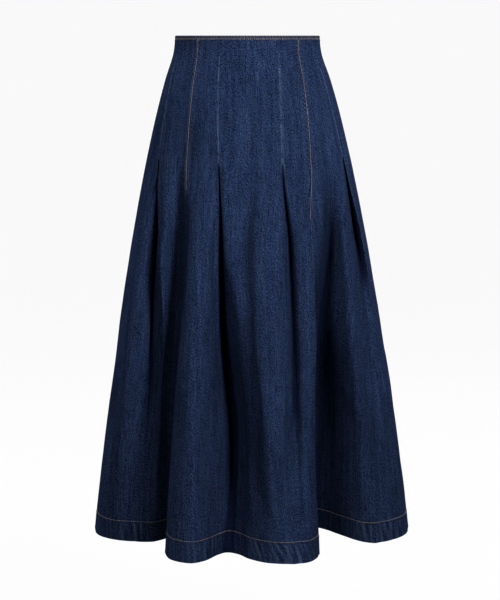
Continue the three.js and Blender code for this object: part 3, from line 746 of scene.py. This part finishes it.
def denimMaterial(name, weave, reverse=False):
    material, tree, shader = plainMaterial(name, 0.95)
    shader.inputs["Specular IOR Level"].default_value = 0
    uvNode = tree.nodes.new("ShaderNodeUVMap")
    uvNode.uv_map = "cloth"
    group = tree.nodes.new("ShaderNodeGroup")
    group.node_tree = weave
    tree.links.new(uvNode.outputs["UV"], group.inputs["Vector"])
    if reverse:
        colour = colourRamp(tree, group.outputs["Shade"], [
            (0.05, denim["reverseWarp"]), (0.75, denim["reverseWeft"])])
    else:
        colour = colourRamp(tree, group.outputs["Shade"], [
            (0.0, denim["deep"]), (0.42, denim["indigo"]), (1.0, denim["pale"])])
        paintedLightAndWearNode = tree.nodes.new("ShaderNodeAttribute")
        paintedLightAndWearNode.attribute_name = "wearAndPaintedLight"
        # Negative values mix toward the deep colour: painted shade in hollows, pleat bottoms, seam and hem
        # grooves and pucker valleys, and a little random tone
        paintedShadeAndUnfaded = mathNode(tree, "MULTIPLY", paintedLightAndWearNode.outputs["Fac"], -0.85, clamp=True)
        colour = mixColour(tree, paintedShadeAndUnfaded, colour, denim["deep"])
        # Positive values mix toward the worn colour: wear, with a painted highlight at each pleat opening
        rubbedAndHighlight = mathNode(tree, "MULTIPLY", paintedLightAndWearNode.outputs["Fac"],
                          mathNode(tree, "ADD", group.outputs["Shade"], 0.35, clamp=True), clamp=True)
        colour = mixColour(tree, mathNode(tree, "MULTIPLY", rubbedAndHighlight, 0.9), colour, denim["rubbedAndHighlight"])
        rope = waveNode(tree, uvNode.outputs["UV"], denim["ropeAngle"], denim["ropeSpacing"])
        roped = mixColour(tree, rope, denim["deep"], denim["rope"])
        apart = tree.nodes.new("ShaderNodeSeparateXYZ")
        tree.links.new(uvNode.outputs["UV"], apart.inputs[0])
        inBand = mathNode(tree, "GREATER_THAN", apart.outputs["Y"], 0.9 - skirt["waistStitch"])
        cloudy = mathNode(tree, "MULTIPLY", group.outputs["Cloud"], 1.5)
        colour = mixColour(tree, mathNode(tree, "MULTIPLY", inBand, cloudy, clamp=True), colour, roped)
        tone = mathNode(tree, "ADD", mathNode(tree, "MULTIPLY", group.outputs["Cloud"], 0.5), 0.75)
        tint = tree.nodes.new("ShaderNodeCombineColor")
        for socket in tint.inputs:
            tree.links.new(tone, socket)
        colour = mixColour(tree, 1.0, colour, tint.outputs[0], "MULTIPLY")
    tree.links.new(colour, shader.inputs["Base Color"])
    bumpInto(tree, shader, group.outputs["Height"], 0.5, 0.0006)
    return material


weaveGroup = denimWeave()
denimFace = denimMaterial("denimFace", weaveGroup)
denimReverse = denimMaterial("denimReverse", weaveGroup, reverse=True)


def threadMaterial():
    material, tree, shader = plainMaterial("tanThread", 0.6, sheen=0.1)
    noise = objectNoise(tree, 420)
    colour = colourRamp(tree, noise, [(0.3, (0.22, 0.175, 0.135, 1)), (0.75, (0.57, 0.475, 0.37, 1))])
    tree.links.new(colour, shader.inputs["Base Color"])
    bumpInto(tree, shader, noise, 0.3, 0.0002)
    return material


tanThread = threadMaterial()

# Panels of cloth
surfaces = {}
for panelName in panels:
    surface = panelSurface(panelName)
    surfaces[panelName] = surface
    rows, columns = surface["grain"].shape
    count = rows * columns
    points = np.concatenate([surface["outer"].reshape(-1, 3), surface["inner"].reshape(-1, 3)])
    outerFaces = gridFaces(rows, columns, 0, False)
    innerFaces = gridFaces(rows, columns, count, True)
    rowStart = np.arange(rows - 1) * columns
    columnStart = np.arange(columns - 1)
    bottom = (rows - 1) * columns
    left = np.stack([rowStart, rowStart + count, rowStart + columns + count, rowStart + columns], axis=1)
    right = left[:, [0, 3, 2, 1]] + columns - 1
    top = np.stack([columnStart, columnStart + 1, columnStart + 1 + count, columnStart + count], axis=1)
    base = top[:, [0, 3, 2, 1]] + bottom
    faces = np.concatenate([outerFaces, left, right, top, base, innerFaces])
    slots = np.zeros(len(faces))
    slots[-len(innerFaces):] = 1
    uv = np.stack([surface["grain"], -surface["depth"]], axis=-1).reshape(-1, 2)
    clothMaterials = [denimFace, denimReverse]
    piece = makeMesh(panelName + "_cloth", points, faces, clothMaterials, slots, np.tile(uv, (2, 1)))
    addAttribute(piece, "wearAndPaintedLight", np.tile(surface["wearAndPaintedLight"].ravel(), 2))
    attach(piece, "skirt")
    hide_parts(panelName)
    print("panel", panelName, rows, "x", columns, 2 * len(faces), "triangles")


# Stitching
stitching = {
    "pitch": 3.4,
    "visible": 0.8,
    "thread": 0.42,
    "sides": 6,
    "rings": 5,
    "sink": 0.35,
}


def alongPath(path, normals):
    # Evenly spaced points on a path by its length, with the direction along it and the surface normal.
    away = np.concatenate([[0], np.cumsum(np.linalg.norm(np.diff(path, axis=0), axis=1))])
    places = np.arange(stitching["pitch"] / 2, away[-1] - stitching["pitch"] / 2, stitching["pitch"])

    def pick(values, at):
        return np.stack([np.interp(at, away, values[:, k]) for k in range(3)], axis=1)

    centre = pick(path, places)
    ahead = unit(pick(path, places + 0.6) - pick(path, places - 0.6))
    return centre, ahead, unit(pick(normals, places))


def tubeMesh(name, points, sides, rings, cap, material):
    # Closed tubes of rings of points, one after the other, each with a cap of quads over both ends.
    ring = np.arange(rings - 1)[:, None] * sides
    k = np.arange(sides)[None, :]
    ahead = (k + 1) % sides
    quads = np.stack([ring + k, ring + ahead, ring + sides + ahead, ring + sides + k], axis=-1).reshape(-1, 4)
    quads = np.concatenate([quads, cap, cap[:, ::-1] + (rings - 1) * sides])
    each = rings * sides
    starts = np.arange(len(points) // each)[:, None, None] * each
    return makeMesh(name, points, (quads[None] + starts).reshape(-1, 4), [material])


def stitchMesh(name, runs, material):
    # Each stitch is a short tube of thread: its radius falls as the root of one less the fifth power of
    # the share of the way to its ends, which sink into the cloth with the fourth power of that share.
    s = stitching
    t = np.linspace(-1, 1, s["rings"])
    angle = np.arange(s["sides"]) * 2 * np.pi / s["sides"]
    half = s["pitch"] * s["visible"] / 2
    radius = s["thread"] * np.sqrt(np.clip(1 - np.abs(t) ** 5, 0.08, 1))
    alongPart = (t * half)[:, None] + 0 * angle
    sidePart = radius[:, None] * np.cos(angle) * 1.15
    outPart = radius[:, None] * np.sin(angle) + (s["thread"] * 0.55 - s["sink"] * np.abs(t) ** 4)[:, None]
    allPoints = []
    for centre, ahead, out in runs:
        side = unit(np.cross(ahead, out))
        out = np.cross(side, ahead)
        local = (
            centre[:, None, None] + alongPart[None, ..., None] * ahead[:, None, None]
            + sidePart[None, ..., None] * side[:, None, None] + outPart[None, ..., None] * out[:, None, None])
        allPoints.append(local.reshape(-1, 3))
    cap = np.array([[0, 5, 4, 1], [1, 4, 3, 2]])
    return tubeMesh(name, np.concatenate(allPoints), s["sides"], s["rings"], cap, material)


def rowAt(surface, height):
    return int(np.argmin(np.abs(surface["heights"] - height)))


def rowRun(surface, row, face="outer"):
    normals = surface["normals"][row]
    return alongPath(surface[face][row], normals if face == "outer" else -normals)


hemRow = skirt["hemTurn"] - length
waistRuns = [rowRun(s, rowAt(s, -skirt["waistStitch"])) for s in surfaces.values()]
hemRuns = [rowRun(s, rowAt(s, hemRow)) for s in surfaces.values()]
hemBackRuns = [rowRun(s, rowAt(s, hemRow), "inner") for s in surfaces.values()]
stitchColumn = mesh["edgeSteps"].index(skirt["topStitchInset"])
frontSurface = surfaces["front_panel"]
seamRuns = []
for column, stitchEnd in zip((stitchColumn, -1 - stitchColumn), skirt["topStitchEnds"]):
    rows = (frontSurface["heights"] < -skirt["waistStitch"]) & (frontSurface["heights"] > -stitchEnd)
    seamRuns.append(alongPath(frontSurface["outer"][rows, column], frontSurface["normals"][rows, column]))
stitchPieces = {
    "waist_stitching": stitchMesh("waist_stitching", waistRuns, tanThread),
    "hem_stitching": stitchMesh("hem_stitching", hemRuns, tanThread),
    "hem_stitching_inside": stitchMesh("hem_stitching_inside", hemBackRuns, tanThread),
    "seam_stitching": stitchMesh("seam_stitching", seamRuns, tanThread),
}
for name, piece in stitchPieces.items():
    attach(piece, "skirt")
    print("stitching", name, len(piece.data.polygons), "faces")

# Zip
zip_ = {
    "toothPitch": 1.45,
    "toothSize": (0.62, 0.34, 1.5),
    "rowOffset": 1.0,
    "tapeGap": 0.3,
    "tapeThickness": 0.7,
    "clear": 0.12,
    "top": 20,
    "bottom": 188,
}


def wovenTape():
    material, tree, shader = plainMaterial("wovenTape", 0.8, sheen=0.1)
    place = tree.nodes.new("ShaderNodeTexCoord")
    scaled = tree.nodes.new("ShaderNodeMapping")
    scaled.inputs["Scale"].default_value = (1000, 1000, 1000)
    tree.links.new(place.outputs["Object"], scaled.inputs["Vector"])
    rib = tree.nodes.new("ShaderNodeTexWave")
    rib.bands_direction = "Z"
    rib.inputs["Scale"].default_value = 2 * math.pi / 20 / 0.8
    rib.inputs["Distortion"].default_value = 1.0
    tree.links.new(scaled.outputs[0], rib.inputs["Vector"])
    colour = colourRamp(tree, rib.outputs["Fac"], [
        (0.2, (0.008, 0.012, 0.03, 1)), (0.9, (0.022, 0.032, 0.07, 1))])
    tree.links.new(colour, shader.inputs["Base Color"])
    bumpInto(tree, shader, rib.outputs["Fac"], 0.4, 0.0003)
    return material


def lacqueredMetal():
    material, tree, shader = plainMaterial("navyLacquer", 0.34, metallic=0.35)
    noise = objectNoise(tree, 900)
    colour = colourRamp(tree, noise, [(0.3, (0.012, 0.018, 0.045, 1)), (0.8, (0.03, 0.042, 0.09, 1))])
    tree.links.new(colour, shader.inputs["Base Color"])
    rough = mathNode(tree, "ADD", mathNode(tree, "MULTIPLY", noise, 0.2), 0.25)
    tree.links.new(rough, shader.inputs["Roughness"])
    bumpInto(tree, shader, noise, 0.15, 0.0001)
    return material


def dressNode(name, material, bevel=0.0):
    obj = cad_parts[name]
    obj.data.materials.clear()
    obj.data.materials.append(material)
    if bevel:
        weld = obj.modifiers.new("weld", "WELD")
        weld.merge_threshold = 1e-6
        soften = obj.modifiers.new("soften", "BEVEL")
        soften.width = bevel * millimetre
        soften.segments = 2
        soften.limit_method = "ANGLE"
        soften.angle_limit = math.radians(30)


dressNode("zip_tape", wovenTape())
lacquer = lacqueredMetal()
dressNode("zip_slider", lacquer, 0.16)
dressNode("zip_pull", lacquer, 0.2)


def zipTeeth(material):
    # Small rounded blocks in two rows down the inside of the tape, each an eight-cornered prism whose
    # ends are drawn in, placed along the centre back at an even pitch.
    pitch, (wide, thick, tall) = zip_["toothPitch"], zip_["toothSize"]
    depths = np.arange(zip_["top"], zip_["bottom"], pitch)
    place = lineNames.index("centreBack") + np.zeros((len(depths), 1))
    seam = clothPoints(-depths, place)[:, 0]
    lower = clothPoints(-depths - 2, place)[:, 0]
    down = unit(lower - seam)
    across = np.tile([1.0, 0, 0], (len(depths), 1))
    inward = unit(np.cross(across, down))
    inward *= np.where(inward[:, 1:2] > 0, -1, 1)
    behind = skirt["cloth"] + zip_["tapeGap"] + zip_["tapeThickness"] + zip_["clear"] + thick
    angle = (np.arange(8) + 0.5) * np.pi / 4
    profile = np.stack([np.cos(angle) * wide / 2, np.sin(angle) * thick], axis=1)
    ends = np.array([(-1, 0.6), (-0.6, 1), (0.6, 1), (1, 0.6)])
    allPoints = []
    for side in (-1, 1):
        staggered = down * (0.5 * pitch * (side > 0))
        centre = seam + inward * behind + across * side * zip_["rowOffset"] + staggered
        local = (
            centre[:, None, None]
            + (ends[:, 0] * tall / 2)[None, :, None, None] * across[:, None, None]
            + (ends[:, 1][:, None] * profile[:, 0])[None, ..., None] * down[:, None, None]
            + (ends[:, 1][:, None] * profile[:, 1])[None, ..., None] * inward[:, None, None])
        allPoints.append(local.reshape(-1, 3))
    cap = np.array([[0, 7, 6, 1], [1, 6, 5, 2], [2, 5, 4, 3]])
    return tubeMesh("zip_teeth", np.concatenate(allPoints), len(angle), len(ends), cap, material)


teeth = zipTeeth(lacquer)
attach(teeth, "skirt")
print("zip done")

# Studio: a round floor that glows pale and curves up all round, two lights in front and two behind
studio = {
    "floor": -1120,
    "radius": 8000,
    "curve": 2200,
    "wallTop": 6500,
    "sides": 64,
    "shade": (0.03, 0.03, 0.03, 1),
    "glow": 0.953,
}


def sweep():
    # A floor disc carried up a quarter circle into a wall, turned about the upright axis.
    angle = np.linspace(0, np.pi / 2, 16)
    curve = studio["curve"]
    reach = np.concatenate([[1, 3000], studio["radius"] - curve + curve * np.sin(angle), [studio["radius"]]])
    rise = np.concatenate([[0, 0], curve - curve * np.cos(angle), [studio["wallTop"]]]) + studio["floor"]
    turn = np.linspace(0, 2 * np.pi, studio["sides"] + 1)
    points = np.stack(np.broadcast_arrays(
        reach[:, None] * np.cos(turn), reach[:, None] * np.sin(turn), rise[:, None]), axis=-1).reshape(-1, 3)
    faces = gridFaces(len(reach), len(turn), 0, False)
    material, tree, shader = plainMaterial("studioPaper", 0.9)
    shader.inputs["Base Color"].default_value = studio["shade"]
    shader.inputs["Specular IOR Level"].default_value = 0
    shader.inputs["Emission Color"].default_value = (1, 1, 1, 1)
    shader.inputs["Emission Strength"].default_value = studio["glow"]
    obj = makeMesh("studio_sweep", points, faces, [material])
    obj.visible_diffuse = False
    obj.visible_glossy = False


sweep()

lights = {
    "key": {"place": (0.98, -1.42, 1.22), "aim": (0, 0, -0.15), "size": (0.5, 0.5), "power": 53},
    "left": {"place": (-0.72, -1.65, 1.0), "aim": (0, 0, -0.45), "size": (0.5, 0.5), "power": 20},
    "backRight": {"place": (1.9, 2.1, 1.5), "aim": (0, 0, -0.4), "size": (1.4, 1.4), "power": 95},
    "backLeft": {"place": (-2.1, 1.7, 1.3), "aim": (0, 0, -0.4), "size": (1.4, 1.4), "power": 75},
}
for name, light in lights.items():
    data = bpy.data.lights.new(name, "AREA")
    data.shape = "RECTANGLE"
    data.size, data.size_y = light["size"]
    data.energy = light["power"]
    obj = bpy.data.objects.new(name, data)
    place = Vector(light["place"])
    turn = (Vector(light["aim"]) - place).to_track_quat("-Z", "Y")
    obj.matrix_world = Matrix.Translation(place) @ turn.to_matrix().to_4x4()
    bpy.context.collection.objects.link(obj)

world = bpy.data.worlds.new("studioAir")
world.use_nodes = True
background = world.node_tree.nodes["Background"]
background.inputs["Color"].default_value = (0.9, 0.85, 1, 1)
background.inputs["Strength"].default_value = 0.012
bpy.context.scene.world = world
viewSettings = bpy.context.scene.view_settings
viewSettings.view_transform = "Standard"
viewSettings.gamma = 0.82
print("studio done")

bpy.context.view_layer.update()
